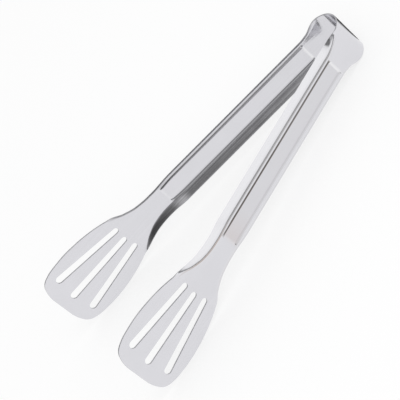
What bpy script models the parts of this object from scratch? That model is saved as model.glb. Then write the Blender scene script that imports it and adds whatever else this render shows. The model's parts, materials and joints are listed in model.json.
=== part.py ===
"""Slotted spring tongs, formed from one strip of stainless sheet.

The sheet is described by a spine, the middle line of the strip seen from its side, and by a section
across the strip at each place on the spine. Along the spine, place 0 is the tip of a blade and the
crown of the bow is the far end. The tongs lie on one side: x runs from the tips to the bow, y is the
direction in which the jaws open, and z is across the strip.
"""

import math

import bmesh
import bpy
from mathutils import Matrix, Vector

# Whole object
OVERALL_LENGTH = 0.279
SHEET_THICKNESS = 0.0010
PIECE_GAP = 0.0003
OPEN_HALF_ANGLE = math.radians(11.4)

# Bow: a round bend of the flat strip
STRIP_WIDTH = 0.0324
BOW_RADIUS = 0.0148

# Grip: a shallow channel with its side walls splayed outwards
GRIP_FLAT_HALF_WIDTH = 0.0091
FLANGE_BEND_LENGTH = 0.0026
FLANGE_TURN = math.radians(56.0)
FLANGE_INTO_BOW = 0.006
FLANGE_FADE_LENGTH = 0.022
FLANGE_TURN_LENGTH = 0.015
PANEL_MARGIN = 0.0006
PANEL_STEP_WIDTH = 0.0021
PANEL_DEPTH = 0.0009
WAIST_TO_PANEL = 0.003
PANEL_TO_BOW = 0.0156
PANEL_TOP_STEP = 0.0022
PANEL_BOTTOM_FADE = 0.006
PANEL_TO_CUT = 0.003

# Neck: the channel narrows a little, then its walls run out into the flat blade
NECK_LENGTH = 0.038
WAIST_FLAT_HALF_WIDTH = 0.0080
WAIST_LIP = 0.0045
WAIST_TO_GRIP = 0.018
CUT_TO_WAIST = 0.006
BLADE_TO_BEND = 0.0278
NECK_BEND_LENGTH = 0.030
NECK_TURN = math.radians(5.3)

# Blade: a rounded spatula with three fanned slots
BLADE_LENGTH = 0.068
BLADE_HALF_WIDTH = 0.0298
BLADE_LIP = 0.0008
BLADE_TURN_LEAD = 0.003
BLADE_TURN_LENGTH = 0.015
SLOT_TIP_PLACE = 0.0149
SLOT_TO_NECK = 0.0010
SLOT_TIP_SPREAD = 0.0185
SLOT_NECK_SPREAD = 0.0106
MIDDLE_SLOT_SHIFT = 0.0024
SLOT_TIP_WIDTH = 0.0058
SLOT_NECK_WIDTH = 0.0046
CUT_OVERRUN = 0.004

# Outline of the blade: place as a share of the blade's length, width as a share of its half width
BLADE_OUTLINE_SHARES = (
    (0.0, 0.36), (0.008, 0.50), (0.025, 0.64), (0.05, 0.77), (0.09, 0.865), (0.14, 0.92),
    (0.24, 0.975), (0.44, 1.0), (0.62, 0.965), (0.78, 0.90), (0.90, 0.825), (1.0, 0.745),
)
# Neck: place as a share of the way from blade to waist, with the width that is still to lose
NECK_WIDTH_SHARES = ((0.0, 1.0), (0.105, 0.905), (0.316, 0.50), (0.579, 0.142), (0.842, 0.013), (1.0, 0.0))
# Neck: the same places, with the share of the side wall that has grown
NECK_LIP_SHARES = ((0.0, 0.0), (0.105, 0.02), (0.316, 0.42), (0.579, 0.80), (0.842, 0.96), (1.0, 1.0))
# Rows of the mesh along the blade and the neck, as shares of the outline's length
BLADE_ROW_SHARES = (0.0, 0.008, 0.025, 0.05, 0.09, 0.14, 0.24, 0.34, 0.44, 0.53, 0.62, 0.70, 0.78, 0.84, 0.90, 0.96)
NECK_ROW_SHARES = (0.0, 0.09, 0.18, 0.27, 0.36, 0.46, 0.58, 0.70)
BLADE_COLUMN_SHARES = (0.0, 0.33, 0.67, 1.0)
BOW_COLUMN_SHARES = (0.0, 0.5, 1.0)

BEND_STEPS = 4
BOW_LEG_ROWS = 6
GRIP_NECK_ROWS = 4
GRIP_ROWS = 3
BOW_STEP_ANGLE = math.radians(7.0)
SLOT_END_STEPS = 8
SLOPE_STEP = 0.0001
SHARP_ANGLE = math.radians(35.0)
STEEL_COLOUR = (0.66, 0.66, 0.69, 1.0)
STEEL_ROUGHNESS = 0.28
RIGHT = -1
LEFT = 1


# Spine lengths that follow from the sizes above
HALF_STRIP = STRIP_WIDTH / 2
CROWN_X = OVERALL_LENGTH - SHEET_THICKNESS / 2
ARC_LENGTH = BOW_RADIUS * (math.pi / 2 - OPEN_HALF_ANGLE)
HEAD_ANGLE = OPEN_HALF_ANGLE - NECK_TURN
WAIST_PLACE = BLADE_LENGTH + NECK_LENGTH
BLADE_CUT = WAIST_PLACE - CUT_TO_WAIST
SLOT_NECK_PLACE = BLADE_LENGTH - SLOT_TO_NECK
HEAD_STRAIGHT = BLADE_LENGTH + BLADE_TO_BEND - NECK_BEND_LENGTH / 2
NECK_BEND_CHORD = NECK_BEND_LENGTH * math.sin(NECK_TURN / 2) / (NECK_TURN / 2)
ARC_END_X = CROWN_X - BOW_RADIUS * (1 - math.sin(OPEN_HALF_ANGLE))
HEAD_X = HEAD_STRAIGHT * math.cos(HEAD_ANGLE)
NECK_BEND_X = NECK_BEND_CHORD * math.cos(OPEN_HALF_ANGLE - NECK_TURN / 2)
GRIP_STRAIGHT = (ARC_END_X - HEAD_X - NECK_BEND_X) / math.cos(OPEN_HALF_ANGLE)
ARC_PLACE = HEAD_STRAIGHT + NECK_BEND_LENGTH + GRIP_STRAIGHT
FLANGE_END = ARC_PLACE + FLANGE_INTO_BOW
CROWN_PLACE = ARC_PLACE + ARC_LENGTH
HINGE_PLACE = CROWN_PLACE - ARC_LENGTH / 2
PANEL_START = WAIST_PLACE + WAIST_TO_PANEL
PANEL_END = ARC_PLACE - PANEL_TO_BOW
GRIP_CUT = PANEL_END + PANEL_TO_CUT
SPINE_RUNS = (
    (ARC_LENGTH, math.pi / 2, -1 / BOW_RADIUS),
    (GRIP_STRAIGHT, OPEN_HALF_ANGLE, 0.0),
    (NECK_BEND_LENGTH, OPEN_HALF_ANGLE, -NECK_TURN / NECK_BEND_LENGTH),
    (HEAD_STRAIGHT, HEAD_ANGLE, 0.0),
)


def ease(share):
    """A smooth step from 0 to 1."""
    share = min(max(share, 0.0), 1.0)
    return share * share * (3 - 2 * share)


def smooth_table(table, at):
    """A smooth curve through the table's points that doesn't overshoot them."""
    if at <= table[0][0]:
        return table[0][1]
    if at >= table[-1][0]:
        return table[-1][1]
    steps = [b[0] - a[0] for a, b in zip(table, table[1:])]
    slopes = [(b[1] - a[1]) / (b[0] - a[0]) for a, b in zip(table, table[1:])]
    tangents = [slopes[0]]
    for before, after in zip(slopes, slopes[1:]):
        tangents.append(0.0 if before * after <= 0 else 2 * before * after / (before + after))
    tangents.append(slopes[-1])
    k = next(i for i in range(len(steps)) if at <= table[i + 1][0])
    t = (at - table[k][0]) / steps[k]
    start = (1 + 2 * t) * (1 - t) ** 2 * table[k][1] + t * (1 - t) ** 2 * steps[k] * tangents[k]
    end = t * t * (3 - 2 * t) * table[k + 1][1] + t * t * (t - 1) * steps[k] * tangents[k + 1]
    return start + end


def spine(place):
    """x, distance from the middle plane, and angle of the spine at a place, walked from the crown."""
    left_over = CROWN_PLACE - place
    x, y, angle = CROWN_X, 0.0, math.pi / 2
    for number, (length, angle, curve) in enumerate(SPINE_RUNS):
        last = number == len(SPINE_RUNS) - 1
        run = left_over if last else min(length, left_over)
        if curve:
            end = angle + curve * run
            x -= (math.sin(end) - math.sin(angle)) / curve
            y += (math.cos(angle) - math.cos(end)) / curve
            angle = end
        else:
            x -= run * math.cos(angle)
            y += run * math.sin(angle)
        left_over -= run
        if left_over <= 0:
            break
    return x, y, angle


def sheet_point(place, across, inwards, side):
    """A point of the sheet: its place on the spine, its distance across, and how far it lies inwards."""
    x, y, angle = spine(place)
    return Vector((x - inwards * math.sin(angle), side * (y - inwards * math.cos(angle)), across))


def blade_half_width(place):
    return BLADE_HALF_WIDTH * smooth_table(BLADE_OUTLINE_SHARES, place / BLADE_LENGTH)


def flange_share(place, length):
    """1 on the grip, 0 on the bow, along a length that ends where the side walls run out."""
    return ease((FLANGE_END - place) / length)


def sizes_at(place):
    """Half width of the flat, length of the lip beyond the bend, and the bend's angle."""
    blade_edge = blade_half_width(min(place, BLADE_LENGTH))
    blade_flat = blade_edge - FLANGE_BEND_LENGTH - BLADE_LIP
    if place <= BLADE_LENGTH:
        flat, lip = blade_flat, BLADE_LIP
    elif place <= WAIST_PLACE:
        share = (place - BLADE_LENGTH) / (WAIST_PLACE - BLADE_LENGTH)
        to_lose = smooth_table(NECK_WIDTH_SHARES, share)
        flat = WAIST_FLAT_HALF_WIDTH + (blade_flat - WAIST_FLAT_HALF_WIDTH) * to_lose
        lip = BLADE_LIP + (WAIST_LIP - BLADE_LIP) * smooth_table(NECK_LIP_SHARES, share)
    else:
        grown = ease((place - WAIST_PLACE) / WAIST_TO_GRIP)
        grip_flat = WAIST_FLAT_HALF_WIDTH + (GRIP_FLAT_HALF_WIDTH - WAIST_FLAT_HALF_WIDTH) * grown
        bow_flat = HALF_STRIP - FLANGE_BEND_LENGTH - BLADE_LIP
        flat = bow_flat + (grip_flat - bow_flat) * flange_share(place, FLANGE_FADE_LENGTH)
        full_lip = HALF_STRIP - FLANGE_BEND_LENGTH - flat
        lip = WAIST_LIP + (full_lip - WAIST_LIP) * grown
    turned = ease((place - BLADE_LENGTH + BLADE_TURN_LEAD) / BLADE_TURN_LENGTH)
    return flat, lip, FLANGE_TURN * turned * flange_share(place, FLANGE_TURN_LENGTH)


def panel_depth(place):
    """How far the grip's panel is pressed in: crisp at the bow end, fading at the neck."""
    rise = ease((place - PANEL_START) / PANEL_BOTTOM_FADE)
    fall = min(max((PANEL_END - place) / PANEL_TOP_STEP, 0.0), 1.0)
    return PANEL_DEPTH * rise * fall


def half_section(place, columns):
    """Points (across, inwards) from the middle of the strip to its edge."""
    flat, lip, turn = sizes_at(place)
    points = columns(place, flat)
    for step in range(1, BEND_STEPS + 1):
        angle = turn * step / BEND_STEPS
        run = FLANGE_BEND_LENGTH * step / BEND_STEPS
        along = math.sin(angle) / angle if angle else 1.0
        aside = (1 - math.cos(angle)) / angle if angle else 0.0
        points.append((flat + run * along, run * aside))
    across, inwards = points[-1]
    points.append((across + lip * math.cos(turn), inwards + lip * math.sin(turn)))
    return points


def blade_columns(place, flat):
    return [(flat * share, 0.0) for share in BLADE_COLUMN_SHARES]


def bow_columns(place, flat):
    return [(flat * share, 0.0) for share in BOW_COLUMN_SHARES]


def grip_columns(place, flat):
    depth = panel_depth(place)
    step_foot = flat - PANEL_MARGIN
    return [(0.0, depth), (step_foot - PANEL_STEP_WIDTH, depth), (step_foot, 0.0), (flat, 0.0)]


def full_row(place, side, columns):
    """The middle surface's points across the whole strip at one place."""
    half = half_section(place, columns)
    section = [(-across, inwards) for across, inwards in reversed(half[1:])] + half
    return [sheet_point(place, across, inwards, side) for across, inwards in section]


def row_with_normals(place, side, columns):
    """A row's points, each with the direction in which the sheet faces outwards."""
    row = full_row(place, side, columns)
    before = full_row(place - SLOPE_STEP, side, columns)
    after = full_row(place + SLOPE_STEP, side, columns)
    normals = []
    for i in range(len(row)):
        across = row[min(i + 1, len(row) - 1)] - row[max(i - 1, 0)]
        normals.append((after[i] - before[i]).cross(across).normalized() * -side)
    return row, normals


def sheet_mesh(name, rows, origin):
    """A closed sheet: rows of points with their normals, given the sheet's thickness."""
    shape = bmesh.new()
    layers = []
    for offset in (SHEET_THICKNESS / 2, -SHEET_THICKNESS / 2):
        layers.append([
            [shape.verts.new(point + normal * offset - origin) for point, normal in zip(row, normals)]
            for row, normals in rows
        ])
    for grid in layers:
        for near, far in zip(grid, grid[1:]):
            for c in range(len(near) - 1):
                shape.faces.new((near[c], near[c + 1], far[c + 1], far[c]))
    bmesh.ops.bridge_loops(shape, edges=[edge for edge in shape.edges if edge.is_boundary])
    bmesh.ops.recalc_face_normals(shape, faces=shape.faces)
    mesh = bpy.data.meshes.new(name)
    shape.to_mesh(mesh)
    shape.free()
    mesh.shade_smooth()
    mesh.set_sharp_from_angle(angle=SHARP_ANGLE)
    return mesh


def steel(name):
    material = bpy.data.materials.new(name)
    material.use_nodes = True
    shader = material.node_tree.nodes["Principled BSDF"]
    shader.inputs["Base Color"].default_value = STEEL_COLOUR
    shader.inputs["Roughness"].default_value = STEEL_ROUGHNESS
    shader.inputs["Metallic"].default_value = 1.0
    return material


def add_piece(name, mesh, parent):
    piece = bpy.data.objects.new(name, mesh)
    bpy.context.scene.collection.objects.link(piece)
    mesh.materials.append(steel(name + "_steel"))
    piece.parent = parent
    return piece


def add_empty(name, location, parent):
    empty = bpy.data.objects.new(name, None)
    bpy.context.scene.collection.objects.link(empty)
    empty.location = location
    empty.parent = parent
    return empty


def spaced(start, end, step):
    count = max(1, math.ceil((end - start) / step))
    return [start + (end - start) * i / count for i in range(count + 1)]


def make_bow(parent):
    """The crown of the bow, between the two hinge lines."""
    half_length = CROWN_PLACE - HINGE_PLACE - PIECE_GAP / 2
    places = spaced(CROWN_PLACE - half_length, CROWN_PLACE, BOW_RADIUS * BOW_STEP_ANGLE)
    rows = [row_with_normals(place, RIGHT, bow_columns) for place in places]
    rows += [row_with_normals(place, LEFT, bow_columns) for place in reversed(places[:-1])]
    return add_piece("spring_bow", sheet_mesh("spring_bow", rows, Vector()), parent)


def make_bow_leg(name, side, hinge):
    """From the hinge line down the rest of the bend to the start of the grip."""
    start = GRIP_CUT + PIECE_GAP / 2
    end = HINGE_PLACE - PIECE_GAP / 2
    places = spaced(start, ARC_PLACE, FLANGE_FADE_LENGTH / BOW_LEG_ROWS)
    places += spaced(ARC_PLACE, end, BOW_RADIUS * BOW_STEP_ANGLE)[1:]
    rows = [row_with_normals(place, side, bow_columns) for place in places]
    return add_piece(name, sheet_mesh(name, rows, hinge.location), hinge)


def make_grip(name, side, hinge):
    """The channel with its pressed panel."""
    start = BLADE_CUT + PIECE_GAP / 2
    end = GRIP_CUT - PIECE_GAP / 2
    panel_full = PANEL_START + PANEL_BOTTOM_FADE
    panel_top = PANEL_END - PANEL_TOP_STEP
    places = spaced(start, PANEL_START, (PANEL_START - start) / GRIP_NECK_ROWS)
    places += spaced(PANEL_START, panel_full, PANEL_BOTTOM_FADE / GRIP_NECK_ROWS)[1:]
    places += spaced(panel_full, panel_top, (panel_top - panel_full) / GRIP_ROWS)[1:]
    places += [PANEL_END, end]
    rows = [row_with_normals(place, side, grip_columns) for place in places]
    return add_piece(name, sheet_mesh(name, rows, hinge.location), hinge)


def slot_outline(tip, neck):
    """The outline of a slot that narrows from its tip end to its neck end, both ends round."""
    tip_radius, neck_radius = SLOT_TIP_WIDTH / 2, SLOT_NECK_WIDTH / 2
    run = neck - tip
    heading = math.atan2(run.y, run.x)
    lean = math.asin((tip_radius - neck_radius) / run.length)
    points = []
    for centre, radius, first, sweep in (
        (neck, neck_radius, heading - math.pi / 2 + lean, math.pi - 2 * lean),
        (tip, tip_radius, heading + math.pi / 2 - lean, math.pi + 2 * lean),
    ):
        for step in range(SLOT_END_STEPS + 1):
            angle = first + sweep * step / SLOT_END_STEPS
            points.append(centre + radius * Vector((math.cos(angle), math.sin(angle))))
    return points


def make_cutter(name, outline, side, parent, origin):
    """A prism through the blade with the slot's outline. Outline points are (place, across)."""
    shape = bmesh.new()
    reach = SHEET_THICKNESS / 2 + CUT_OVERRUN
    rings = [
        [shape.verts.new(sheet_point(p.x, p.y, inwards, side) - origin) for p in outline]
        for inwards in (-reach, reach)
    ]
    for i in range(len(outline)):
        j = (i + 1) % len(outline)
        shape.faces.new((rings[0][i], rings[0][j], rings[1][j], rings[1][i]))
    for ring in rings:
        shape.faces.new(ring)
    bmesh.ops.recalc_face_normals(shape, faces=shape.faces)
    mesh = bpy.data.meshes.new(name)
    shape.to_mesh(mesh)
    shape.free()
    cutter = bpy.data.objects.new(name, mesh)
    bpy.context.scene.collection.objects.link(cutter)
    cutter.parent = parent
    cutter.hide_render = True
    cutter.display_type = "WIRE"
    return cutter


def make_blade(name, side, hinge):
    """The slotted spatula with the start of the neck's side walls."""
    neck_length = WAIST_PLACE - BLADE_LENGTH
    places = [BLADE_LENGTH * share for share in BLADE_ROW_SHARES]
    places += [BLADE_LENGTH + neck_length * share for share in NECK_ROW_SHARES]
    places.append(BLADE_CUT - PIECE_GAP / 2)
    rows = [row_with_normals(place, side, blade_columns) for place in places]
    blade = add_piece(name, sheet_mesh(name, rows, hinge.location), hinge)
    middle = (SLOT_TIP_PLACE - MIDDLE_SLOT_SHIFT, SLOT_NECK_PLACE - MIDDLE_SLOT_SHIFT / 2)
    ends = (
        (Vector((SLOT_TIP_PLACE, -SLOT_TIP_SPREAD)), Vector((SLOT_NECK_PLACE, -SLOT_NECK_SPREAD))),
        (Vector((middle[0], 0.0)), Vector((middle[1], 0.0))),
        (Vector((SLOT_TIP_PLACE, SLOT_TIP_SPREAD)), Vector((SLOT_NECK_PLACE, SLOT_NECK_SPREAD))),
    )
    for number, (tip, neck) in enumerate(ends, 1):
        cutter = make_cutter(f"{name}_slot_{number}", slot_outline(tip, neck), side, hinge, hinge.location)
        cut = blade.modifiers.new(f"slot_{number}", "BOOLEAN")
        cut.operation = "DIFFERENCE"
        cut.solver = "EXACT"
        cut.object = cutter
    return blade


def lay_down(frame, pieces):
    """Tilts the frame until both blades and the bow touch the floor, and centres it over its origin."""
    points = []
    for piece in pieces:
        offset = piece.parent.location if piece.parent is not frame else Vector()
        points += [vertex.co + offset for vertex in piece.data.vertices]
    end = max(points, key=lambda p: p.x)
    end_z = min(p.z for p in points if p.x > end.x - SHEET_THICKNESS)
    slope = max((end_z - p.z) / (end.x - p.x) for p in points if p.x < end.x / 2)
    turn = Matrix.Rotation(math.atan(slope), 3, "Y")
    turned = [turn @ p for p in points]
    low = Vector([min(p[axis] for p in turned) for axis in range(3)])
    high = Vector([max(p[axis] for p in turned) for axis in range(3)])
    frame.rotation_euler = turn.to_euler()
    frame.location = (-(low.x + high.x) / 2, -(low.y + high.y) / 2, -low.z)


def main():
    for item in list(bpy.data.objects):
        bpy.data.objects.remove(item)
    frame = add_empty("rest_frame", (0.0, 0.0, 0.0), None)
    pieces = [make_bow(frame)]
    for word, side in (("left", LEFT), ("right", RIGHT)):
        hinge_point = sheet_point(HINGE_PLACE, 0.0, 0.0, side)
        hinge = add_empty(f"{word}_hinge", hinge_point, frame)
        pieces.append(make_bow_leg(f"{word}_bow_leg", side, hinge))
        pieces.append(make_grip(f"{word}_grip", side, hinge))
        pieces.append(make_blade(f"{word}_blade", side, hinge))
    lay_down(frame, pieces)


main()
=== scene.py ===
"""Slotted spring tongs of one folded steel strip, on a pale studio floor.

The sheet is described as in the CAD: place runs along the strip from the blade's tip (0) to the
crown of the bow, across runs over its width, and inwards is the way to the middle plane between
the arms. Each side is made as one sheet from its tip to the crown, and then cut into a blade, a
grip and half of the bow, which meet without a seam.
"""

import json
import math

import bmesh
import bpy
from mathutils import Euler, Matrix, Vector


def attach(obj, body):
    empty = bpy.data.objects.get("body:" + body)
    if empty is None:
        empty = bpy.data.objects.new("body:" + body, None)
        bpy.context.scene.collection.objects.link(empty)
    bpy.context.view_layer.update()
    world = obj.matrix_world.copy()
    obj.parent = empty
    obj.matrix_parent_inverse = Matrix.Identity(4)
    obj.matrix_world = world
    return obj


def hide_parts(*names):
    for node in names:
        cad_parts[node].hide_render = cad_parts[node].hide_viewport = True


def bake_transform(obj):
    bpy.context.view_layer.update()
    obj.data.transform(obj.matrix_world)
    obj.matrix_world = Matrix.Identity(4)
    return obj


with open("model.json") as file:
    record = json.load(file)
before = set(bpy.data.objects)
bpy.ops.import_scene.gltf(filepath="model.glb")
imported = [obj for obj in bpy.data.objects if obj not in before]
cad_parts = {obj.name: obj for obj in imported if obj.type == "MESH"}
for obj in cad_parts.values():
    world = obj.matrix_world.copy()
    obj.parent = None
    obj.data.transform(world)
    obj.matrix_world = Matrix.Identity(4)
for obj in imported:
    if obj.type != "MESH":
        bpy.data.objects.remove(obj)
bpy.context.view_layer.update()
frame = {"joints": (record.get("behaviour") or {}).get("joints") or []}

# The strip's sizes in metres and its angles, as in the CAD
OVERALL_LENGTH = 0.279
SHEET_THICKNESS = 0.0010
OPEN_HALF_ANGLE = math.radians(11.4)
STRIP_WIDTH = 0.0324
BOW_RADIUS = 0.0148
GRIP_FLAT_HALF_WIDTH = 0.0091
FLANGE_BEND_LENGTH = 0.0026
FLANGE_TURN = math.radians(56.0)
FLANGE_INTO_BOW = 0.006
FLANGE_FADE_LENGTH = 0.022
FLANGE_TURN_LENGTH = 0.015
PANEL_MARGIN = 0.0006
PANEL_STEP_WIDTH = 0.0021
PANEL_DEPTH = 0.0009
WAIST_TO_PANEL = 0.003
PANEL_TO_BOW = 0.0156
PANEL_TOP_STEP = 0.0022
NECK_LENGTH = 0.038
WAIST_FLAT_HALF_WIDTH = 0.0080
WAIST_LIP = 0.0045
WAIST_TO_GRIP = 0.018
BLADE_TO_BEND = 0.0278
NECK_BEND_LENGTH = 0.030
NECK_TURN = math.radians(5.3)
BLADE_LENGTH = 0.068
BLADE_HALF_WIDTH = 0.0298
BLADE_LIP = 0.0008
BLADE_TURN_LEAD = 0.003
BLADE_TURN_LENGTH = 0.015
SLOT_TIP_PLACE = 0.0149
SLOT_TO_NECK = 0.0010
SLOT_TIP_SPREAD = 0.0185
SLOT_NECK_SPREAD = 0.0106
MIDDLE_SLOT_SHIFT = 0.0024
SLOT_TIP_WIDTH = 0.0058
SLOT_NECK_WIDTH = 0.0046

# Shares of a length and of a width, as in the CAD: the blade's outline, and how the neck changes
BLADE_OUTLINE_SHARES = (
    (0.0, 0.36), (0.008, 0.50), (0.025, 0.64), (0.05, 0.77), (0.09, 0.865), (0.14, 0.92),
    (0.24, 0.975), (0.44, 1.0), (0.62, 0.965), (0.78, 0.90), (0.90, 0.825), (1.0, 0.745),
)
NECK_WIDTH_SHARES = (
    (0.0, 1.0), (0.105, 0.905), (0.316, 0.50), (0.579, 0.142), (0.842, 0.013), (1.0, 0.0),
)
NECK_LIP_SHARES = (
    (0.0, 0.0), (0.105, 0.02), (0.316, 0.42), (0.579, 0.80), (0.842, 0.96), (1.0, 1.0),
)

# The CAD's dividing lines, where the sheet is cut into its pieces
CUT_TO_WAIST = 0.006
PANEL_TO_CUT = 0.003

# The slope at the panel's lower end, which is crisper here than in the solids
PANEL_BOTTOM_FADE = 0.0035

# Fineness of the mesh: distances between rows in metres, and columns over half of the strip
TIP_ROW_STEP = 0.0004
TIP_ROWS_END = 0.006
BLADE_ROW_STEP = 0.0011
PANEL_BOTTOM_ROW_STEP = BLADE_ROW_STEP / 2
GRIP_ROW_STEP = 0.004
PANEL_TOP_ROW_STEP = 0.0003
ARC_ROW_STEP = 0.0007
CROWN_ROW_STEP = 0.00015
ROW_COUNT_SLACK = 1e-6
FLAT_COLUMNS = 3
STEP_COLUMNS = 8
BEND_COLUMNS = 9
LIP_COLUMNS = 2
FOLD_COLUMN = FLAT_COLUMNS + STEP_COLUMNS + 1
STEP_CRISPNESS = 1.35
EDGE_ROUNDING = 0.0002
EDGE_SEGMENTS = 2
SLOT_END_STEPS = 22
CUTTER_REACH = 0.004
SLOPE_STEP = 0.00005
CUT_TOLERANCE = 1e-7
FLAT_ANGLE = math.radians(0.05)
SHARP_ANGLE = math.radians(14.0)
BEVEL_ANGLE = math.radians(50.0)
EDGE_FINISH = 1
LEFT = 1
RIGHT = -1

# Angles, places along the strip and widths that follow from the sizes
HALF_STRIP = STRIP_WIDTH / 2
HEAD_ANGLE = OPEN_HALF_ANGLE - NECK_TURN
CROWN_X = OVERALL_LENGTH - SHEET_THICKNESS / 2
ARC_LENGTH = BOW_RADIUS * (math.pi / 2 - OPEN_HALF_ANGLE)
ARC_END_X = CROWN_X - BOW_RADIUS * (1 - math.sin(OPEN_HALF_ANGLE))
HEAD_STRAIGHT = BLADE_LENGTH + BLADE_TO_BEND - NECK_BEND_LENGTH / 2
HEAD_X = HEAD_STRAIGHT * math.cos(HEAD_ANGLE)
NECK_BEND_CHORD = NECK_BEND_LENGTH * math.sin(NECK_TURN / 2) / (NECK_TURN / 2)
NECK_BEND_X = NECK_BEND_CHORD * math.cos(OPEN_HALF_ANGLE - NECK_TURN / 2)
GRIP_STRAIGHT = (ARC_END_X - HEAD_X - NECK_BEND_X) / math.cos(OPEN_HALF_ANGLE)
FLAT_BLADE_END = BLADE_LENGTH - BLADE_TURN_LEAD
SLOT_NECK_PLACE = BLADE_LENGTH - SLOT_TO_NECK
WAIST_PLACE = BLADE_LENGTH + NECK_LENGTH
ARC_PLACE = HEAD_STRAIGHT + NECK_BEND_LENGTH + GRIP_STRAIGHT
FLANGE_END = ARC_PLACE + FLANGE_INTO_BOW
CROWN_PLACE = ARC_PLACE + ARC_LENGTH
HINGE_PLACE = CROWN_PLACE - ARC_LENGTH / 2
PANEL_START = WAIST_PLACE + WAIST_TO_PANEL
PANEL_END = ARC_PLACE - PANEL_TO_BOW
PANEL_FOOT = GRIP_FLAT_HALF_WIDTH - PANEL_MARGIN
PANEL_FLAT_EDGE = PANEL_FOOT - PANEL_STEP_WIDTH
BLADE_CUT = WAIST_PLACE - CUT_TO_WAIST
GRIP_CUT = PANEL_END + PANEL_TO_CUT

# The spine from the crown to the tip: each run's length, its first angle and how it curves
SPINE_RUNS = (
    (ARC_LENGTH, math.pi / 2, -1 / BOW_RADIUS),
    (GRIP_STRAIGHT, OPEN_HALF_ANGLE, 0.0),
    (NECK_BEND_LENGTH, OPEN_HALF_ANGLE, -NECK_TURN / NECK_BEND_LENGTH),
    (math.inf, HEAD_ANGLE, 0.0),
)

# The inner face's uv map lies this far along from the outer face's
INNER_PAGE = 1.0

# Grain, bands, hairlines, smudges and waves of the steel: scales of their noise, and their ranges, with the
# ranges of the bands that streak the painted shade
GRAIN_SCALE = (45.0, 5200.0, 1.0)
BAND_SCALE = (7.0, 850.0, 1.0)
HAIRLINE_SCALE = (35.0, 420.0, 1.0)
SMUDGE_SCALE = 55.0
WAVE_SCALE = 22.0
PATCH_SCALE = 90.0
HAIRLINE_WIDTH = 0.012
PATCH_RANGE = (0.56, 0.68)
TONE_RANGE = (0.3, 0.7)
SMUDGE_RANGE = (0.35, 0.75)
SMUDGE_SHARES = (0.0, 0.16)
WALL_SHADE_RANGE = (0.40, 0.60)
SHADE_STREAK_RANGE = (0.3, 0.6)

# Roughness that each of them gives, and bumps as strength and distance in metres
GRAIN_ROUGH_RANGE = (0.25, 0.75)
GRAIN_ROUGHNESS = (0.10, 0.16)
SMUDGE_ROUGH_RANGE = (0.3, 0.7)
SMUDGE_ROUGHNESS = (-0.02, 0.05)
SCRATCH_ROUGHNESS = 0.12
GRAIN_BUMP = (0.10, 0.00002)
STREAK_BUMP = (0.55, 0.00004)
SCRATCH_BUMP = (0.3, 0.00003)
WAVE_BUMP = (0.5, 0.0006)
WALL_STREAKS = 4.0
SHEET_ANISOTROPY = 0.35

# Painted highlights on the panel's end slopes, its darker flat, and the warm tint at its lower end
TOP_SHINE = 1.0
BOTTOM_SHINE = 0.3
CROSS_SHINE = 0.7
SHINE_HALF_WIDTH = 0.0016
PANEL_DARKENING = 0.3
WARMTH = 0.3
WARM_LENGTH = 0.03

# Painted highlight on the margin beside the panel; at the outer fold a painted grey shade, and a line of
# painted shade with a residue tint
MARGIN_HIGHLIGHT = 0.6
FOLD_SHADE = 0.4
FOLD_SHADE_WIDTH = 0.003
FOLD_LINE_STRENGTH = 0.6
FOLD_LINE_SHIFT = 0.0005
FOLD_LINE_HALF_WIDTH = 0.0009

# Painted shade on the inner walls, in streaks and darkest at the neck, and painted shade at the foot of the
# inner face's lower step
WALL_SHADE = 0.6
NECK_SHADE = 0.75
NECK_SHADE_RUN = 0.012
LOWER_SHADE = 0.85
LOWER_SHADE_LEAD = 0.0012
LOWER_SHADE_SHARES = (0.8, 1.0)

# Painted shade in the panel's crease with a warm residue tint: its solid width and its end are shares of
# the half width
CREASE_HALF_WIDTH = 0.00125
CREASE_SOLID = 0.65
CREASE_END = 1.15
CREASE_SHIFT = 0.0003
CREASE_STRENGTH = 0.96
CREASE_SHARES = (0.75, 1.0)
INNER_CREASE = 0.25
LOWER_CREASE = 0.15

# Colours of the sheet, of its painted highlights and painted shade and its other details, of its edges and
# of the floor
WHITE = (1.0, 1.0, 1.0, 1.0)
SHEET_DIM = (0.712, 0.709, 0.741, 1.0)
SHEET_BRIGHT = (0.732, 0.729, 0.761, 1.0)
SMUDGE_COLOUR = (0.66, 0.655, 0.685, 1.0)
SHINE_COLOUR = (0.94, 0.94, 0.95, 1.0)
PANEL_COLOUR = (0.60, 0.592, 0.61, 1.0)
WARM_COLOUR = (0.62, 0.53, 0.50, 1.0)
MARGIN_COLOUR = (0.86, 0.86, 0.88, 1.0)
FOLD_SHADE_COLOUR = (0.58, 0.575, 0.60, 1.0)
WALL_SHADE_COLOUR = (0.36, 0.355, 0.36, 1.0)
NECK_SHADE_COLOUR = (0.10, 0.10, 0.10, 1.0)
LOWER_SHADE_COLOUR = (0.20, 0.20, 0.205, 1.0)
NECK_FOLD_LINE_COLOUR = (0.34, 0.25, 0.19, 1.0)
GRIP_FOLD_LINE_COLOUR = (0.16, 0.15, 0.145, 1.0)
CREASE_SHADE_COLOUR = (0.10, 0.085, 0.072, 1.0)
EDGE_DIM = (0.36, 0.36, 0.38, 1.0)
EDGE_BRIGHT = (0.48, 0.475, 0.49, 1.0)
FLOOR_COOL = (0.945, 0.945, 0.95, 1.0)
FLOOR_PLAIN = (0.955, 0.955, 0.955, 1.0)

# The sheared edges' noise, roughness and bump
EDGE_GRAIN_SCALE = 2600.0
EDGE_PATCH_SCALE = 160.0
EDGE_PATCH_RANGE = (0.35, 0.65)
EDGE_GRAIN_RANGE = (0.3, 0.7)
EDGE_ROUGHNESS = (0.26, 0.42)
EDGE_BUMP = (0.3, 0.00004)

# The floor: its size, its noise, and how white it is by itself to the camera and to the steel
FLOOR_HALF_SIZE = 4.0
FLOOR_NOISE_SCALE = 3.0
FLOOR_WHITE_SHARE = 0.65
MIRRORED_WHITE_SHARE = 0.85

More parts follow.
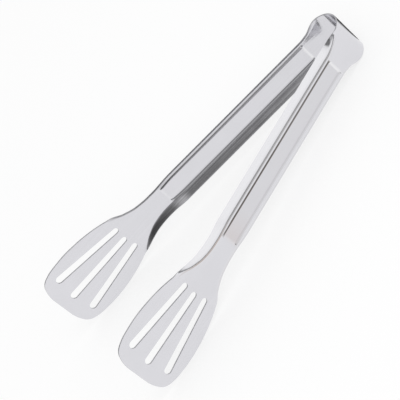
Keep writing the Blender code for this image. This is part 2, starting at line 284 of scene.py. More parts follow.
# A dark card on the floor behind the bow, only in the steel's reflections: a sector round CARD_CORNER
CARD_CORNER = 0.1395
CARD_START = (math.radians(6.0), math.radians(34.0))
CARD_END = (math.radians(78.0), math.radians(112.0))
CARD_REACH = (0.06, 0.13)
CARD_DARKNESS = 0.93

# The world's light on the matte floor and, in the steel's reflections, a dimmer band round the horizon:
# where it starts, is full, begins to fade and ends, as the sine of the height, and its level
WORLD_FILL = 0.865
BAND_START = -0.1
BAND_FULL = 0.0
BAND_FADE = 0.12
BAND_END = 0.42
BAND_LEVEL = 0.28

# Soft patches in the same reflections: direction, where each is full and ends in degrees, and its level
FLAGS = (
    ((-0.55, -0.28, 0.79), 28.0, 40.0, 0.2),
    ((-0.33, -0.81, 0.38), 16.0, 28.0, 0.5),
    ((0.34, -0.22, 0.91), 20.0, 30.0, 1.02),
)

# The camera: its place in metres, its turns about x, y and z in degrees, and its lens
CAMERA_PLACE = (-0.02396, -1.12450, 0.85475)
CAMERA_TURNS = (38.701, 40.806, -39.454)
SENSOR_WIDTH = 36.0
PICTURE_WIDTH = 400
FOCAL_PIXELS = 2000.0


def ease(share):
    share = min(max(share, 0.0), 1.0)
    return share * share * (3 - 2 * share)


def smooth_table(table, at):
    """A smooth curve through the table's points that doesn't overshoot them."""
    if at <= table[0][0]:
        return table[0][1]
    if at >= table[-1][0]:
        return table[-1][1]
    steps = [b[0] - a[0] for a, b in zip(table, table[1:])]
    slopes = [(b[1] - a[1]) / (b[0] - a[0]) for a, b in zip(table, table[1:])]
    tangents = [slopes[0]]
    for before, after in zip(slopes, slopes[1:]):
        tangents.append(0.0 if before * after <= 0 else 2 * before * after / (before + after))
    tangents.append(slopes[-1])
    k = next(i for i in range(len(steps)) if at <= table[i + 1][0])
    t = (at - table[k][0]) / steps[k]
    start = (1 + 2 * t) * (1 - t) ** 2 * table[k][1] + t * (1 - t) ** 2 * steps[k] * tangents[k]
    end = t * t * (3 - 2 * t) * table[k + 1][1] + t * t * (t - 1) * steps[k] * tangents[k + 1]
    return start + end


def spine(place):
    """x, distance from the middle plane and angle of the spine at a place, walked from the crown."""
    x, y = CROWN_X, 0.0
    left_over = CROWN_PLACE - place
    for length, angle, curve in SPINE_RUNS:
        run = min(length, left_over)
        if curve:
            end = angle + curve * run
            x -= (math.sin(end) - math.sin(angle)) / curve
            y += (math.cos(angle) - math.cos(end)) / curve
            angle = end
        else:
            x -= run * math.cos(angle)
            y += run * math.sin(angle)
        left_over -= run
        if left_over <= 0:
            break
    return x, y, angle


def beside_spine(here, across, inwards, side):
    """A point across and inwards from a point of the spine, given as spine() returns it."""
    x, y, angle = here
    return Vector((x - inwards * math.sin(angle), side * (y - inwards * math.cos(angle)), across))


def sheet_point(place, across, inwards, side):
    return beside_spine(spine(place), across, inwards, side)


def flange_share(place, length):
    return ease((FLANGE_END - place) / length)


def sizes_at(place):
    """Half width of the flat, length of the lip beyond the bend, and the bend's angle."""
    edge = BLADE_HALF_WIDTH * smooth_table(BLADE_OUTLINE_SHARES, min(place / BLADE_LENGTH, 1.0))
    blade_flat = edge - FLANGE_BEND_LENGTH - BLADE_LIP
    if place <= BLADE_LENGTH:
        flat, lip = blade_flat, BLADE_LIP
    elif place <= WAIST_PLACE:
        share = (place - BLADE_LENGTH) / NECK_LENGTH
        to_lose = smooth_table(NECK_WIDTH_SHARES, share)
        flat = WAIST_FLAT_HALF_WIDTH + (blade_flat - WAIST_FLAT_HALF_WIDTH) * to_lose
        lip = BLADE_LIP + (WAIST_LIP - BLADE_LIP) * smooth_table(NECK_LIP_SHARES, share)
    else:
        grown = ease((place - WAIST_PLACE) / WAIST_TO_GRIP)
        grip_flat = WAIST_FLAT_HALF_WIDTH + (GRIP_FLAT_HALF_WIDTH - WAIST_FLAT_HALF_WIDTH) * grown
        bow_flat = HALF_STRIP - FLANGE_BEND_LENGTH - BLADE_LIP
        flat = bow_flat + (grip_flat - bow_flat) * flange_share(place, FLANGE_FADE_LENGTH)
        full_lip = HALF_STRIP - FLANGE_BEND_LENGTH - flat
        lip = WAIST_LIP + (full_lip - WAIST_LIP) * grown
    turned = ease((place - FLAT_BLADE_END) / BLADE_TURN_LENGTH)
    return flat, lip, FLANGE_TURN * turned * flange_share(place, FLANGE_TURN_LENGTH)


def panel_depth(place):
    rise = ease((place - PANEL_START) / PANEL_BOTTOM_FADE)
    fall = ease((PANEL_END - place) / PANEL_TOP_STEP)
    return PANEL_DEPTH * rise * fall


def half_section(place):
    """Points (across, inwards) from the middle of the strip to its edge."""
    flat, lip, turn = sizes_at(place)
    depth = panel_depth(place)
    flat_edge = flat - PANEL_MARGIN - PANEL_STEP_WIDTH
    points = [(flat_edge * i / FLAT_COLUMNS, depth) for i in range(FLAT_COLUMNS + 1)]
    for i in range(1, STEP_COLUMNS + 1):
        share = i / STEP_COLUMNS
        crisp = 0.5 + (share - 0.5) * STEP_CRISPNESS
        points.append((flat_edge + PANEL_STEP_WIDTH * share, depth * (1 - ease(crisp))))
    points.append((flat, 0.0))
    for i in range(1, BEND_COLUMNS + 1):
        angle = turn * i / BEND_COLUMNS
        run = FLANGE_BEND_LENGTH * i / BEND_COLUMNS
        along = math.sin(angle) / angle if angle else 1.0
        aside = (1 - math.cos(angle)) / angle if angle else 0.0
        points.append((flat + run * along, run * aside))
    across, inwards = points[-1]
    for i in range(1, LIP_COLUMNS + 1):
        run = lip * i / LIP_COLUMNS
        points.append((across + run * math.cos(turn), inwards + run * math.sin(turn)))
    return points


def row_points(place, side):
    here = spine(place)
    half = half_section(place)
    section = [(-across, inwards) for across, inwards in reversed(half[1:])] + half
    return [beside_spine(here, across, inwards, side) for across, inwards in section]


def row_places():
    """Rows along the strip, close together where the sheet's shape changes quickly."""
    panel_slope_end = PANEL_START + PANEL_BOTTOM_FADE
    grip_start = WAIST_PLACE + WAIST_TO_GRIP
    panel_top = PANEL_END - PANEL_TOP_STEP
    last_row = CROWN_PLACE - CROWN_ROW_STEP
    stretches = (
        (0.0, TIP_ROWS_END, TIP_ROW_STEP),
        (TIP_ROWS_END, PANEL_START, BLADE_ROW_STEP),
        (PANEL_START, panel_slope_end, PANEL_BOTTOM_ROW_STEP),
        (panel_slope_end, grip_start, BLADE_ROW_STEP),
        (grip_start, panel_top, GRIP_ROW_STEP),
        (panel_top, PANEL_END, PANEL_TOP_ROW_STEP),
        (PANEL_END, last_row, ARC_ROW_STEP),
        (last_row, CROWN_PLACE, CROWN_ROW_STEP),
    )
    places = [0.0]
    for start, end, step in stretches:
        count = math.ceil((end - start) / step - ROW_COUNT_SLACK)
        places += [start + (end - start) * i / count for i in range(1, count + 1)]
    return places


class Lay:
    """How one side's sheet lies on the floor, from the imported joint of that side."""

    def __init__(self, word, side):
        joint = next(j for j in frame["joints"] if j["name"] == f"{word}_arm_squeeze")
        axis = Vector(joint["axis"]) * side
        self.side = side
        self.turn = Matrix.Rotation(math.atan2(axis.x, axis.z), 3, "Y")
        self.shift = Vector(joint["pos_m"]) - self.turn @ sheet_point(HINGE_PLACE, 0.0, 0.0, side)

    def put(self, point):
        return self.turn @ point + self.shift

    def spot(self, place, across=0.0, inwards=0.0):
        return self.put(sheet_point(place, across, inwards, self.side))

    def heading(self, place):
        """The way along the strip at a place."""
        here = sheet_point(place, 0.0, 0.0, self.side)
        ahead = sheet_point(place + SLOPE_STEP, 0.0, 0.0, self.side)
        return (self.turn @ (ahead - here)).normalized()


def object_from(shape, name):
    """A new object in the scene with the mesh of a bmesh, which is freed."""
    mesh = bpy.data.meshes.new(name)
    shape.to_mesh(mesh)
    shape.free()
    item = bpy.data.objects.new(name, mesh)
    bpy.context.scene.collection.objects.link(item)
    return item


def developed(row):
    """Each point's distance over the bent sheet from the middle of its row."""
    widths = [0.0]
    for a, b in zip(row, row[1:]):
        widths.append(widths[-1] + (b - a).length)
    return [width - widths[-1] / 2 for width in widths]


def sheet_row(shape, place, lay, spots):
    """One row's points on the outer and on the inner face; spots gets their places in both uv maps."""
    row = row_points(place, lay.side)
    before = row_points(place - SLOPE_STEP, lay.side)
    after = row_points(place + SLOPE_STEP, lay.side)
    aside = developed(row)
    fold = aside[len(row) // 2 + FOLD_COLUMN]
    outer, inner = [], []
    faces = ((outer, SHEET_THICKNESS / 2, 0.0), (inner, -SHEET_THICKNESS / 2, INNER_PAGE))
    for i, point in enumerate(row):
        across = row[min(i + 1, len(row) - 1)] - row[max(i - 1, 0)]
        normal = (after[i] - before[i]).cross(across).normalized() * -lay.side
        for verts, offset, page in faces:
            vert = shape.verts.new(lay.put(point + normal * offset))
            spots[vert] = ((place + page, aside[i]), (abs(aside[i]) - fold, 0.0))
            verts.append(vert)
    return outer, inner


def join_flat_faces(shape, faces):
    """Join the small faces of the flat blade, so that the slots are cut out of plain ones."""
    flat = set(faces)
    edges = dict.fromkeys(edge for face in faces for edge in face.edges)
    joins = [edge for edge in edges if len(edge.link_faces) == 2 and flat.issuperset(edge.link_faces)]
    verts = dict.fromkeys(vert for edge in joins for vert in edge.verts if flat.issuperset(vert.link_faces))
    bmesh.ops.dissolve_limit(
        shape, angle_limit=FLAT_ANGLE, verts=list(verts), edges=joins, delimit={"MATERIAL"},
    )


def sheet_strip(lay):
    """One side's sheet with thickness, open at the crown, with a uv map along it and one from its folds."""
    places = row_places()
    shape = bmesh.new()
    strip_map = shape.loops.layers.uv.new("strip")
    fold_map = shape.loops.layers.uv.new("fold")
    spots = {}
    outer, inner = zip(*(sheet_row(shape, place, lay, spots) for place in places))
    flat_faces = []
    for grid in (outer, inner):
        for place, near, far in zip(places[1:], grid, grid[1:]):
            corners = zip(near, near[1:], far[1:], far)
            faces = [shape.faces.new(four) for four in corners]
            if place < FLAT_BLADE_END:
                flat_faces += faces
    rims = []
    for column in (0, -1):
        outer_edge = [row[column] for row in outer]
        inner_edge = [row[column] for row in inner]
        rims += zip(outer_edge, outer_edge[1:], inner_edge[1:], inner_edge)
    rims += zip(outer[0], inner[0], inner[0][1:], outer[0][1:])
    for corners in rims:
        shape.faces.new(corners).material_index = EDGE_FINISH
    for face in shape.faces:
        for loop in face.loops:
            loop[strip_map].uv, loop[fold_map].uv = spots[loop.vert]
    bmesh.ops.recalc_face_normals(shape, faces=shape.faces)
    join_flat_faces(shape, flat_faces)
    return object_from(shape, "strip")


def slot_outline(tip, neck):
    """Two round ends of unlike radius, joined by straight sides."""
    tip_radius, neck_radius = SLOT_TIP_WIDTH / 2, SLOT_NECK_WIDTH / 2
    run = neck - tip
    heading = math.atan2(run.y, run.x)
    lean = math.asin((tip_radius - neck_radius) / run.length)
    points = []
    for centre, radius, first, sweep in (
        (neck, neck_radius, heading - math.pi / 2 + lean, math.pi - 2 * lean),
        (tip, tip_radius, heading + math.pi / 2 - lean, math.pi + 2 * lean),
    ):
        for step in range(SLOT_END_STEPS + 1):
            angle = first + sweep * step / SLOT_END_STEPS
            points.append(centre + radius * Vector((math.cos(angle), math.sin(angle))))
    return points


def slot_cutter(lay):
    """All three slots of a blade as prisms in one mesh."""
    middle_tip = SLOT_TIP_PLACE - MIDDLE_SLOT_SHIFT
    middle_neck = SLOT_NECK_PLACE - MIDDLE_SLOT_SHIFT / 2
    shape = bmesh.new()
    for tip, neck in (
        ((SLOT_TIP_PLACE, -SLOT_TIP_SPREAD), (SLOT_NECK_PLACE, -SLOT_NECK_SPREAD)),
        ((middle_tip, 0.0), (middle_neck, 0.0)),
        ((SLOT_TIP_PLACE, SLOT_TIP_SPREAD), (SLOT_NECK_PLACE, SLOT_NECK_SPREAD)),
    ):
        outline = slot_outline(Vector(tip), Vector(neck))
        low, high = (
            [shape.verts.new(lay.spot(point.x, point.y, inwards)) for point in outline]
            for inwards in (-CUTTER_REACH, CUTTER_REACH)
        )
        for i in range(len(outline)):
            j = (i + 1) % len(outline)
            shape.faces.new((low[i], low[j], high[j], high[i]))
        shape.faces.new(low)
        shape.faces.new(high)
    bmesh.ops.recalc_face_normals(shape, faces=shape.faces)
    for face in shape.faces:
        face.material_index = EDGE_FINISH
    return object_from(shape, "slot_cutter")


def half_strip(lay, finishes):
    """The mesh of one side from tip to crown: slots cut, edges rounded, open at the crown."""
    strip = sheet_strip(lay)
    cutter = slot_cutter(lay)
    for item in (strip, cutter):
        for finish in finishes:
            item.data.materials.append(finish)
    cut = strip.modifiers.new("slots", "BOOLEAN")
    cut.operation = "DIFFERENCE"
    cut.solver = "EXACT"
    cut.object = cutter
    rounding = strip.modifiers.new("edges", "BEVEL")
    rounding.width = EDGE_ROUNDING
    rounding.segments = EDGE_SEGMENTS
    rounding.limit_method = "ANGLE"
    rounding.angle_limit = BEVEL_ANGLE
    rounding.use_clamp_overlap = False
    bpy.context.view_layer.update()
    mesh = bpy.data.meshes.new_from_object(strip.evaluated_get(bpy.context.evaluated_depsgraph_get()))
    for item in (strip, cutter):
        bpy.data.objects.remove(item)
    mesh.shade_smooth()
    mesh.set_sharp_from_angle(angle=SHARP_ANGLE)
    kept = mesh.attributes.new("kept_normal", "FLOAT_VECTOR", "CORNER")
    kept.data.foreach_set("vector", [value for normal in mesh.corner_normals for value in normal.vector])
    return mesh


def stretch(strip, name, start, end, lay):
    """A piece of the strip between two places, closed at its ends, with the whole strip's normals."""
    shape = bmesh.new()
    shape.from_mesh(strip)
    for place, keeps_after in ((start, True), (end, False)):
        if place is None:
            continue
        bmesh.ops.bisect_plane(
            shape, geom=[*shape.verts, *shape.edges, *shape.faces], dist=CUT_TOLERANCE,
            plane_co=lay.spot(place), plane_no=lay.heading(place),
            clear_inner=keeps_after, clear_outer=not keeps_after,
        )
    sheet_faces = set(shape.faces)
    bmesh.ops.holes_fill(shape, edges=[edge for edge in shape.edges if edge.is_boundary], sides=0)
    shape.normal_update()
    normals = shape.loops.layers.float_vector["kept_normal"]
    for face in set(shape.faces) - sheet_faces:
        face.material_index = EDGE_FINISH
        for loop in face.loops:
            loop[normals] = face.normal
    piece = object_from(shape, name)
    mesh = piece.data
    for finish in strip.materials:
        mesh.materials.append(finish)
    kept = mesh.attributes["kept_normal"]
    mesh.normals_split_custom_set([item.vector.normalized() for item in kept.data])
    mesh.attributes.remove(mesh.attributes["kept_normal"])
    return piece


class Nodes:
    """Short forms for building a node tree."""

    def __init__(self, tree):
        self.tree = tree

    def feed(self, socket, value):
        """Link an input to another node's output, or set it to a plain value."""
        if isinstance(value, bpy.types.NodeSocket):
            self.tree.links.new(value, socket)
        else:
            socket.default_value = value

    def add(self, kind, **settings):
        """A new node. Settings that start with in_ go to the input of that name or number."""
        node = self.tree.nodes.new(kind)
        for key, value in settings.items():
            if key.startswith("in_"):
                name = key.removeprefix("in_").replace("_", " ")
                self.feed(node.inputs[int(name) if name.isdigit() else name], value)
            else:
                setattr(node, key, value)
        return node

    def math(self, operation, *values):
        node = self.add("ShaderNodeMath", operation=operation)
        for socket, value in zip(node.inputs, values):
            self.feed(socket, value)
        return node.outputs[0]

    def product(self, first, *others):
        for value in others:
            first = self.math("MULTIPLY", first, value)
        return first

    def remainder(self, share):
        return self.math("SUBTRACT", 1.0, share)

    def distance(self, a, b):
        return self.math("ABSOLUTE", self.math("SUBTRACT", a, b))

    def ramp(self, value, low, high, out_low=0.0, out_high=1.0, smooth=False):
        kind = "SMOOTHSTEP" if smooth else "LINEAR"
        node = self.add(
            "ShaderNodeMapRange", interpolation_type=kind, in_Value=value, in_1=low, in_2=high,
            in_3=out_low, in_4=out_high,
        )
        return node.outputs[0]

    def noise(self, vector, scale, detail, roughness):
        node = self.add(
            "ShaderNodeTexNoise", in_Vector=vector, in_Scale=scale, in_Detail=detail,
            in_Roughness=roughness,
        )
        return node.outputs[0]

    def scaled(self, vector, scale):
        return self.add("ShaderNodeMapping", in_Vector=vector, in_Scale=scale).outputs[0]

    def split(self, vector):
        return self.add("ShaderNodeSeparateXYZ", in_0=vector).outputs

    def mix(self, share, a, b):
        return self.add("ShaderNodeMix", data_type="RGBA", in_0=share, in_6=a, in_7=b).outputs[2]

    def mix_levels(self, share, a, b):
        return self.add("ShaderNodeMix", in_0=share, in_2=a, in_3=b).outputs[0]

    def bump(self, height, size, **others):
        strength, distance = size
        node = self.add(
            "ShaderNodeBump", in_Strength=strength, in_Distance=distance, in_Height=height, **others,
        )
        return node.outputs[0]


def new_material(name):
    material = bpy.data.materials.new(name)
    material.use_nodes = True
    return material, Nodes(material.node_tree), material.node_tree.nodes["Principled BSDF"]


class SheetSockets:
    """What the sheet is painted by: the noise at a point and the point's place on the sheet."""

    def __init__(self, nodes):
        strip = nodes.add("ShaderNodeUVMap", uv_map="strip").outputs[0]
        fold = nodes.add("ShaderNodeUVMap", uv_map="fold").outputs[0]
        body = nodes.add("ShaderNodeTexCoord").outputs["Object"]
        self.grain = nodes.noise(nodes.scaled(strip, GRAIN_SCALE), 1.0, detail=4.0, roughness=0.6)
        self.bands = nodes.noise(nodes.scaled(strip, BAND_SCALE), 1.0, detail=2.0, roughness=0.55)
        self.smudge = nodes.noise(body, SMUDGE_SCALE, detail=4.0, roughness=0.55)
        self.waves = nodes.noise(body, WAVE_SCALE, detail=1.0, roughness=0.4)
        hairlines = nodes.add(
            "ShaderNodeTexVoronoi", feature="DISTANCE_TO_EDGE",
            in_Vector=nodes.scaled(strip, HAIRLINE_SCALE), in_Scale=1.0,
        ).outputs[0]
        patches = nodes.noise(body, PATCH_SCALE, detail=2.0, roughness=0.5)
        hairline = nodes.ramp(hairlines, 0.0, HAIRLINE_WIDTH, 1.0, 0.0)
        self.scratch = nodes.product(hairline, nodes.ramp(patches, *PATCH_RANGE))
        along, self.height, _ = nodes.split(strip)
        self.inside = nodes.math("GREATER_THAN", along, INNER_PAGE / 2)
        self.outside = nodes.remainder(self.inside)
        self.place = nodes.math("SUBTRACT", along, nodes.product(self.inside, INNER_PAGE))
        self.across = nodes.math("ABSOLUTE", self.height)
        self.beyond_fold = nodes.split(fold)[0]
        folded_start = nodes.ramp(self.place, BLADE_LENGTH, BLADE_LENGTH + BLADE_TURN_LENGTH)
        folded_end = nodes.ramp(self.place, PANEL_END, ARC_PLACE, 1.0, 0.0)
        self.folded = nodes.product(folded_start, folded_end)
        self.wall = nodes.product(nodes.ramp(self.beyond_fold, 0.0, FLANGE_BEND_LENGTH), self.folded)
        self.panel_rise = nodes.ramp(self.place, PANEL_START, PANEL_START + PANEL_BOTTOM_FADE)
        self.panel_fall = nodes.ramp(self.place, PANEL_END - PANEL_TOP_STEP, PANEL_END, 1.0, 0.0)

    def by_height(self, nodes, lower, upper):
        """One value on the strip's lower half and another on its upper half."""
        return nodes.ramp(self.height, -CREASE_HALF_WIDTH, CREASE_HALF_WIDTH, lower, upper)


def end_shine(nodes, sheet):
    """Light on the slopes at the panel's two ends."""
    shine = 0.0
    for line, strength in (
        (PANEL_START + PANEL_BOTTOM_FADE / 2, BOTTOM_SHINE),
        (PANEL_END - PANEL_TOP_STEP / 2, TOP_SHINE),
    ):
        beside = nodes.distance(sheet.place, line)
        here = nodes.ramp(beside, 0.0, SHINE_HALF_WIDTH, strength, 0.0, smooth=True)
        shine = nodes.math("MAXIMUM", here, shine)
    return nodes.product(shine, nodes.ramp(sheet.across, PANEL_FLAT_EDGE, PANEL_FOOT, CROSS_SHINE, 0.0))


def outer_panel(nodes, sheet):
    on_flat = nodes.ramp(sheet.across, PANEL_FLAT_EDGE, PANEL_FOOT, 1.0, 0.0)
    return nodes.product(on_flat, sheet.panel_rise, sheet.panel_fall, sheet.outside, PANEL_DARKENING)


# Painted highlight: the outer margin beside the fold is coloured lighter.
def outer_margin_highlight(nodes, sheet):
    beside_fold = nodes.ramp(sheet.beyond_fold, -PANEL_MARGIN, 0.0)
    return nodes.product(beside_fold, sheet.folded, sheet.outside, MARGIN_HIGHLIGHT)


def outer_fold_shade(nodes, sheet):
    """A soft grey on the outer wall that fades away from the fold."""
    shade = nodes.ramp(sheet.beyond_fold, 0.0, FOLD_SHADE_WIDTH, FOLD_SHADE, 0.0)
    on_wall = nodes.math("GREATER_THAN", sheet.beyond_fold, 0.0)
    return nodes.product(shade, on_wall, sheet.folded, sheet.outside)


# Painted shade: dark streaks on the inner walls.
def inner_wall_shade(nodes, sheet):
    return nodes.product(nodes.ramp(sheet.bands, *WALL_SHADE_RANGE, 0.0, WALL_SHADE), sheet.wall, sheet.inside)


def inner_neck_shade(nodes, sheet):
    """Painted shade on the inner wall of the neck, darkest beside the blade."""
    start, end = BLADE_LENGTH + BLADE_TURN_LENGTH, WAIST_PLACE + NECK_SHADE_RUN
    return nodes.product(nodes.ramp(sheet.place, start, end, NECK_SHADE, 0.0), sheet.wall, sheet.inside)


def lower_step_shade(nodes, sheet):
    """A streaked dark band on the inner face, from the panel's lower edge to the fold."""
    shade = nodes.ramp(sheet.across, PANEL_FLAT_EDGE - LOWER_SHADE_LEAD, PANEL_FOOT, smooth=True)
    to_wall = nodes.ramp(sheet.beyond_fold, 0.0, FLANGE_BEND_LENGTH, 1.0, 0.0)
    lower = sheet.by_height(nodes, LOWER_SHADE, 0.0)
    streaks = nodes.ramp(sheet.bands, *SHADE_STREAK_RANGE, *LOWER_SHADE_SHARES)
    return nodes.product(shade, to_wall, sheet.panel_rise, sheet.panel_fall, lower, sheet.inside, streaks)


def fold_line_shade_and_residue(nodes, sheet):
    """A thin dark line along the outer fold, mostly the upper one: painted shade, tinted brown like residue
    at the neck.
    """
    beside = nodes.distance(sheet.beyond_fold, FOLD_LINE_SHIFT)
    line = nodes.ramp(beside, 0.0, FOLD_LINE_HALF_WIDTH, 1.0, 0.0, smooth=True)
    upper = sheet.by_height(nodes, LOWER_CREASE, 1.0)
    return nodes.product(line, sheet.folded, sheet.outside, FOLD_LINE_STRENGTH, upper)


def crease_shade_and_residue(nodes, sheet):
    """A dark line of painted shade in the hollow of the panel's step, with a warm residue tint, mostly on
    the outer face and the upper side.
    """
    inner_shift = nodes.product(sheet.inside, PANEL_STEP_WIDTH - 2 * CREASE_SHIFT)
    away = nodes.distance(sheet.across, nodes.math("ADD", inner_shift, PANEL_FLAT_EDGE + CREASE_SHIFT))
    solid, end = CREASE_HALF_WIDTH * CREASE_SOLID, CREASE_HALF_WIDTH * CREASE_END
    line = nodes.ramp(away, solid, end, 1.0, 0.0, smooth=True)
    less_inside = nodes.remainder(nodes.product(sheet.inside, 1.0 - INNER_CREASE))
    top = nodes.ramp(sheet.place, PANEL_END - PANEL_TOP_STEP / 2, PANEL_END, 1.0, 0.0)
    streaks = nodes.ramp(sheet.bands, *SHADE_STREAK_RANGE, *CREASE_SHARES)
    upper = sheet.by_height(nodes, LOWER_CREASE, 1.0)
    return nodes.product(line, less_inside, sheet.panel_rise, top, streaks, upper, CREASE_STRENGTH)


def sheet_steel():
    """Satin stainless sheet: lengthwise grain, smudges, waves and hairlines, with painted highlights and
    painted shade on the panel, its folds, crease and inner walls.
    """
    material, nodes, shader = new_material("satin_sheet_steel")
    sheet = SheetSockets(nodes)
    panel = outer_panel(nodes, sheet)
    warm_end = PANEL_START + WARM_LENGTH
    warm = nodes.ramp(sheet.place, PANEL_START, warm_end, WARMTH / PANEL_DARKENING, 0.0, smooth=True)
    on_grip = nodes.ramp(sheet.place, WAIST_PLACE, WAIST_PLACE + WAIST_TO_GRIP)
    colour = nodes.mix(nodes.ramp(sheet.bands, *TONE_RANGE), SHEET_DIM, SHEET_BRIGHT)
    for share, layer in (
        (nodes.ramp(sheet.smudge, *SMUDGE_RANGE, *SMUDGE_SHARES), SMUDGE_COLOUR),
        (end_shine(nodes, sheet), SHINE_COLOUR),
        (panel, PANEL_COLOUR),
        (nodes.product(panel, warm), WARM_COLOUR),
        (outer_margin_highlight(nodes, sheet), MARGIN_COLOUR),
        (outer_fold_shade(nodes, sheet), FOLD_SHADE_COLOUR),
        (inner_wall_shade(nodes, sheet), WALL_SHADE_COLOUR),
        (inner_neck_shade(nodes, sheet), NECK_SHADE_COLOUR),
        (lower_step_shade(nodes, sheet), LOWER_SHADE_COLOUR),
        (fold_line_shade_and_residue(nodes, sheet), nodes.mix(on_grip, NECK_FOLD_LINE_COLOUR, GRIP_FOLD_LINE_COLOUR)),
        (crease_shade_and_residue(nodes, sheet), CREASE_SHADE_COLOUR),
    ):
        colour = nodes.mix(share, colour, layer)
    nodes.feed(shader.inputs["Base Color"], colour)
    rough = nodes.math(
        "ADD", nodes.ramp(sheet.grain, *GRAIN_ROUGH_RANGE, *GRAIN_ROUGHNESS),
        nodes.ramp(sheet.smudge, *SMUDGE_ROUGH_RANGE, *SMUDGE_ROUGHNESS),
    )
    rough = nodes.math("ADD", rough, nodes.product(sheet.scratch, SCRATCH_ROUGHNESS))
    nodes.feed(shader.inputs["Roughness"], rough)
    streaks = nodes.product(sheet.bands, nodes.ramp(sheet.wall, 0.0, 1.0, 1.0, WALL_STREAKS))
    normal = nodes.bump(sheet.grain, GRAIN_BUMP)
    normal = nodes.bump(streaks, STREAK_BUMP, in_Normal=normal)
    normal = nodes.bump(sheet.scratch, SCRATCH_BUMP, in_Normal=normal, invert=True)
    normal = nodes.bump(sheet.waves, WAVE_BUMP, in_Normal=normal)
    nodes.feed(shader.inputs["Normal"], normal)
    tangent = nodes.add("ShaderNodeTangent", direction_type="UV_MAP", uv_map="strip").outputs[0]
    nodes.feed(shader.inputs["Tangent"], tangent)
    shader.inputs["Metallic"].default_value = 1.0
    shader.inputs["Anisotropic"].default_value = SHEET_ANISOTROPY
    return material


def edge_steel():
    """Sheared and tumbled edges: darker and rougher than the faces."""
    material, nodes, shader = new_material("tumbled_edge_steel")
    body = nodes.add("ShaderNodeTexCoord").outputs["Object"]
    grain = nodes.noise(body, EDGE_GRAIN_SCALE, detail=3.0, roughness=0.6)
    patches = nodes.noise(body, EDGE_PATCH_SCALE, detail=2.0, roughness=0.5)
    colour = nodes.mix(nodes.ramp(patches, *EDGE_PATCH_RANGE), EDGE_DIM, EDGE_BRIGHT)
    nodes.feed(shader.inputs["Base Color"], colour)
    nodes.feed(shader.inputs["Roughness"], nodes.ramp(grain, *EDGE_GRAIN_RANGE, *EDGE_ROUGHNESS))
    nodes.feed(shader.inputs["Normal"], nodes.bump(grain, EDGE_BUMP))
    shader.inputs["Metallic"].default_value = 1.0
    return material


def area_lamp(name, place, size, power):
    """A square lamp that faces the origin and stays out of the steel's reflections."""
    lamp = bpy.data.lights.new(name, "AREA")
    lamp.shape = "SQUARE"
    lamp.size = size
    lamp.energy = power
    item = bpy.data.objects.new(name, lamp)
    bpy.context.scene.collection.objects.link(item)
    item.visible_glossy = False
    item.location = place
    item.rotation_euler = (-Vector(place)).to_track_quat("-Z", "Y").to_euler()


def reflected_world(nodes):
    """The level of the world in the steel's reflections: white, with the dim band and the patches."""
    direction = nodes.add("ShaderNodeTexCoord").outputs["Generated"]
    height = nodes.split(direction)[2]
    above = nodes.ramp(height, BAND_FADE, BAND_END, BAND_LEVEL, 1.0, smooth=True)
    below = nodes.ramp(height, BAND_START, BAND_FULL, 1.0, BAND_LEVEL)
    glow = nodes.math("MAXIMUM", above, below)
    for centre, full, end, level in FLAGS:
        towards = nodes.add(
            "ShaderNodeVectorMath", operation="DOT_PRODUCT", in_0=direction,
            in_1=Vector(centre).normalized(),
        ).outputs["Value"]
        end_cosine, full_cosine = math.cos(math.radians(end)), math.cos(math.radians(full))
        glow = nodes.product(nodes.ramp(towards, end_cosine, full_cosine, 1.0, level, smooth=True), glow)
    return glow


def studio_world():
    """Plain white to the camera, a little dimmer as light, and with its own map in reflections."""
    world = bpy.data.worlds.new("studio")
    bpy.context.scene.world = world
    world.use_nodes = True
    world.node_tree.nodes.clear()
    nodes = Nodes(world.node_tree)
    path = nodes.add("ShaderNodeLightPath").outputs
    plain = nodes.math("MAXIMUM", path["Is Camera Ray"], path["Is Transmission Ray"])
    seen = nodes.math("MAXIMUM", plain, path["Is Glossy Ray"])
    shown = nodes.mix_levels(path["Is Glossy Ray"], 1.0, reflected_world(nodes))
    level = nodes.mix_levels(seen, WORLD_FILL, shown)
    background = nodes.add("ShaderNodeBackground", in_Color=WHITE, in_Strength=level).outputs[0]
    nodes.add("ShaderNodeOutputWorld", in_0=background)


def card_share(nodes):
    """How far a point of the floor belongs to the dark card, a sector with soft edges."""
    x, y, _ = nodes.split(nodes.add("ShaderNodeNewGeometry").outputs["Position"])
    ahead = nodes.math("SUBTRACT", x, CARD_CORNER)
    bearing = nodes.math("ARCTAN2", y, ahead)
    squares = nodes.math("ADD", nodes.math("POWER", y, 2.0), nodes.math("POWER", ahead, 2.0))
    start = nodes.ramp(bearing, *CARD_START, smooth=True)
    end = nodes.ramp(bearing, *CARD_END, 1.0, 0.0, smooth=True)
    reach = nodes.ramp(nodes.math("SQRT", squares), *CARD_REACH, 1.0, 0.0, smooth=True)
    return nodes.product(start, end, reach)


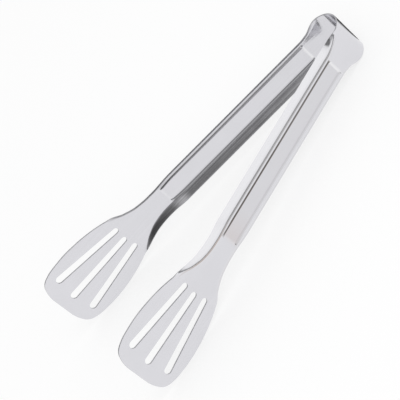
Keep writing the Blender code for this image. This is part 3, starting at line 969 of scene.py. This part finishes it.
def floor_finish():
    """Matte and pale, partly white by itself to the camera and the steel, with the dark card."""
    material, nodes, shader = new_material("pale_floor")
    body = nodes.add("ShaderNodeTexCoord").outputs["Object"]
    tone = nodes.noise(body, FLOOR_NOISE_SCALE, detail=2.0, roughness=0.5)
    colour = nodes.mix(tone, FLOOR_COOL, FLOOR_PLAIN)
    nodes.feed(shader.inputs["Base Color"], colour)
    shader.inputs["Roughness"].default_value = 1.0
    shader.inputs["Specular IOR Level"].default_value = 0.0
    path = nodes.add("ShaderNodeLightPath").outputs
    seen = nodes.math("MAXIMUM", path["Is Camera Ray"], path["Is Transmission Ray"])
    mirrored = nodes.product(path["Is Glossy Ray"], MIRRORED_WHITE_SHARE)
    card = nodes.product(card_share(nodes), path["Is Glossy Ray"])
    white = nodes.remainder(nodes.product(card, CARD_DARKNESS))
    plain = nodes.add("ShaderNodeEmission", in_Color=WHITE, in_Strength=white).outputs[0]
    share = nodes.math("MAXIMUM", nodes.product(seen, FLOOR_WHITE_SHARE), mirrored)
    share = nodes.math("MAXIMUM", share, card)
    both = nodes.add("ShaderNodeMixShader", in_0=share, in_1=shader.outputs[0], in_2=plain).outputs[0]
    nodes.feed(material.node_tree.nodes["Material Output"].inputs[0], both)
    return material


def floor_sheet():
    shape = bmesh.new()
    bmesh.ops.create_grid(shape, x_segments=1, y_segments=1, size=FLOOR_HALF_SIZE)
    floor = object_from(shape, "studio_floor")
    floor.data.materials.append(floor_finish())


finishes = (sheet_steel(), edge_steel())
for word, side in (("left", LEFT), ("right", RIGHT)):
    arm = f"{word}_arm"
    lay = Lay(word, side)
    strip = half_strip(lay, finishes)
    blade = stretch(strip, f"{word}_blade_sheet", None, BLADE_CUT, lay)
    grip = stretch(strip, f"{word}_grip_sheet", BLADE_CUT, GRIP_CUT, lay)
    bow = stretch(strip, f"{word}_bow_half", GRIP_CUT, None, lay)
    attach(blade, arm)
    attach(grip, arm)
    crown = lay.spot(CROWN_PLACE)
    leg = lay.spot(ARC_PLACE)
    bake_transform(bow)
    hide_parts(f"{word}_blade")
    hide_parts(f"{word}_grip")
    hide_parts(f"{word}_bow_leg", "spring_bow")

studio_world()
floor_sheet()
area_lamp("overhead_softbox", place=(0.50, -0.32, 1.5), size=0.8, power=2.6)
area_lamp("front_softbox", place=(-0.5, -1.6, 1.3), size=1.2, power=5.6)

camera = bpy.data.objects.new("camera", bpy.data.cameras.new("camera"))
bpy.context.scene.collection.objects.link(camera)
camera.data.sensor_width = SENSOR_WIDTH
camera.data.lens = FOCAL_PIXELS * SENSOR_WIDTH / PICTURE_WIDTH
camera_turn = Euler([math.radians(turn) for turn in CAMERA_TURNS])
camera.matrix_world = Matrix.LocRotScale(Vector(CAMERA_PLACE), camera_turn, None)
bpy.context.scene.camera = camera
bpy.context.scene.view_settings.view_transform = "Standard"
